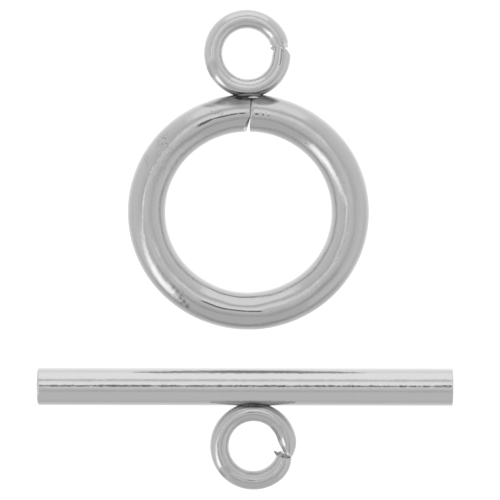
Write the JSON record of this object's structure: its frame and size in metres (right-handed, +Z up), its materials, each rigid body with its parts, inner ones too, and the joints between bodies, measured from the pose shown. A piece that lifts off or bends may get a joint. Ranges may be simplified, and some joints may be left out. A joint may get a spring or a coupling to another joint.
{
  "type": "toggle clasp",
  "caption": "Polished steel toggle clasp: a round wire ring with a small eye on its rim, and a straight bar with an eye at its middle that locks across the ring.",
  "frame": {"origin": "on the surface that the clasp lies on, under the middle of the layout of ring and bar", "axes": "+Y from the bar to the ring and its eye, +X along the bar to the right, +Z up from the surface through the ring's hole"},
  "size_m": [0.0208, 0.024, 0.0019],
  "materials": {
    "polished_steel": "stainless steel wire, tumble polished to a soft mirror, with faint drawing lines, fine scratches and cut marks at the seams"
  },
  "bodies": {
    "root": {"toggle_ring": "polished_steel", "toggle_bar": "polished_steel"}
  },
  "joints": []
}
